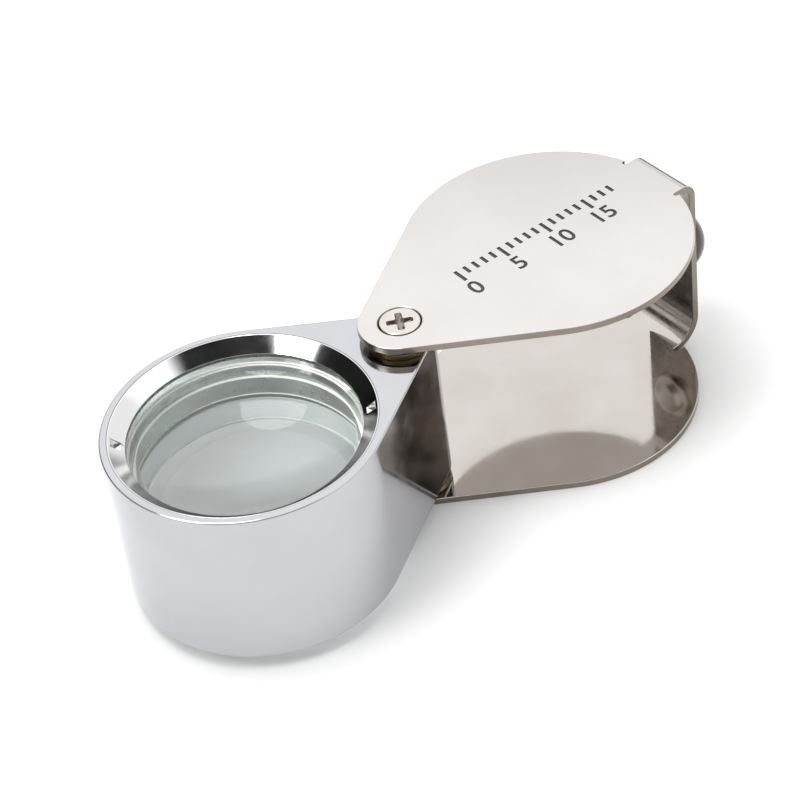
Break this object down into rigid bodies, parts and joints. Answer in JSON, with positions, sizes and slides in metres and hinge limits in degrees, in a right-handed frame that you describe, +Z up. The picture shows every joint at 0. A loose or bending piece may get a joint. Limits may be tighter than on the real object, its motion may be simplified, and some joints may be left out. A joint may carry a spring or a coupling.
{
  "type": "folding loupe",
  "caption": "Folding pocket loupe: teardrop lens housing that swings out of a bright sheet-metal case on a screwed pivot.",
  "frame": {"origin": "bottom centre of the bounding box with the housing swung out; the pivot axis is parallel to Z at x = -2.8 mm, y = 0", "axes": "+X from the lens housing through the pivot to the strap end of the case, +Z up through the two case plates, +Y by the right-hand rule"},
  "size_m": [0.0645, 0.0266, 0.019],
  "materials": {
    "case_nickel": "polished nickel plate on pressed steel",
    "stud_nickel": "darkened nickel plate",
    "small_steel": "turned steel",
    "screw_steel": "nickel-plated screw",
    "washer_brass": "stamped brass",
    "housing_satin": "satin chrome plate",
    "ring_mirror": "mirror chrome plate",
    "lens_glass": "polished optical glass",
    "spacer_metal": "turned aluminium"
  },
  "bodies": {
    "case": {"case_shell": "case_nickel", "end_stud": "stud_nickel", "stud_washer": "small_steel", "pivot_post": "small_steel", "pivot_screw_upper": "screw_steel", "pivot_screw_lower": "screw_steel", "washer_upper": "washer_brass", "washer_lower": "washer_brass"},
    "lens_unit": {"lens_housing": "housing_satin", "ring_upper": "ring_mirror", "ring_lower": "ring_mirror", "lens_eye": "lens_glass", "lens_middle": "lens_glass", "lens_field": "lens_glass", "spacer_upper": "spacer_metal", "spacer_lower": "spacer_metal"}
  },
  "joints": [
    {"name": "lens_swing", "type": "hinge", "parent": "case", "child": "lens_unit", "pos_m": [-0.0028, 0, 0.0095], "axis": [0, 0, 1], "continuous": true}
  ]
}
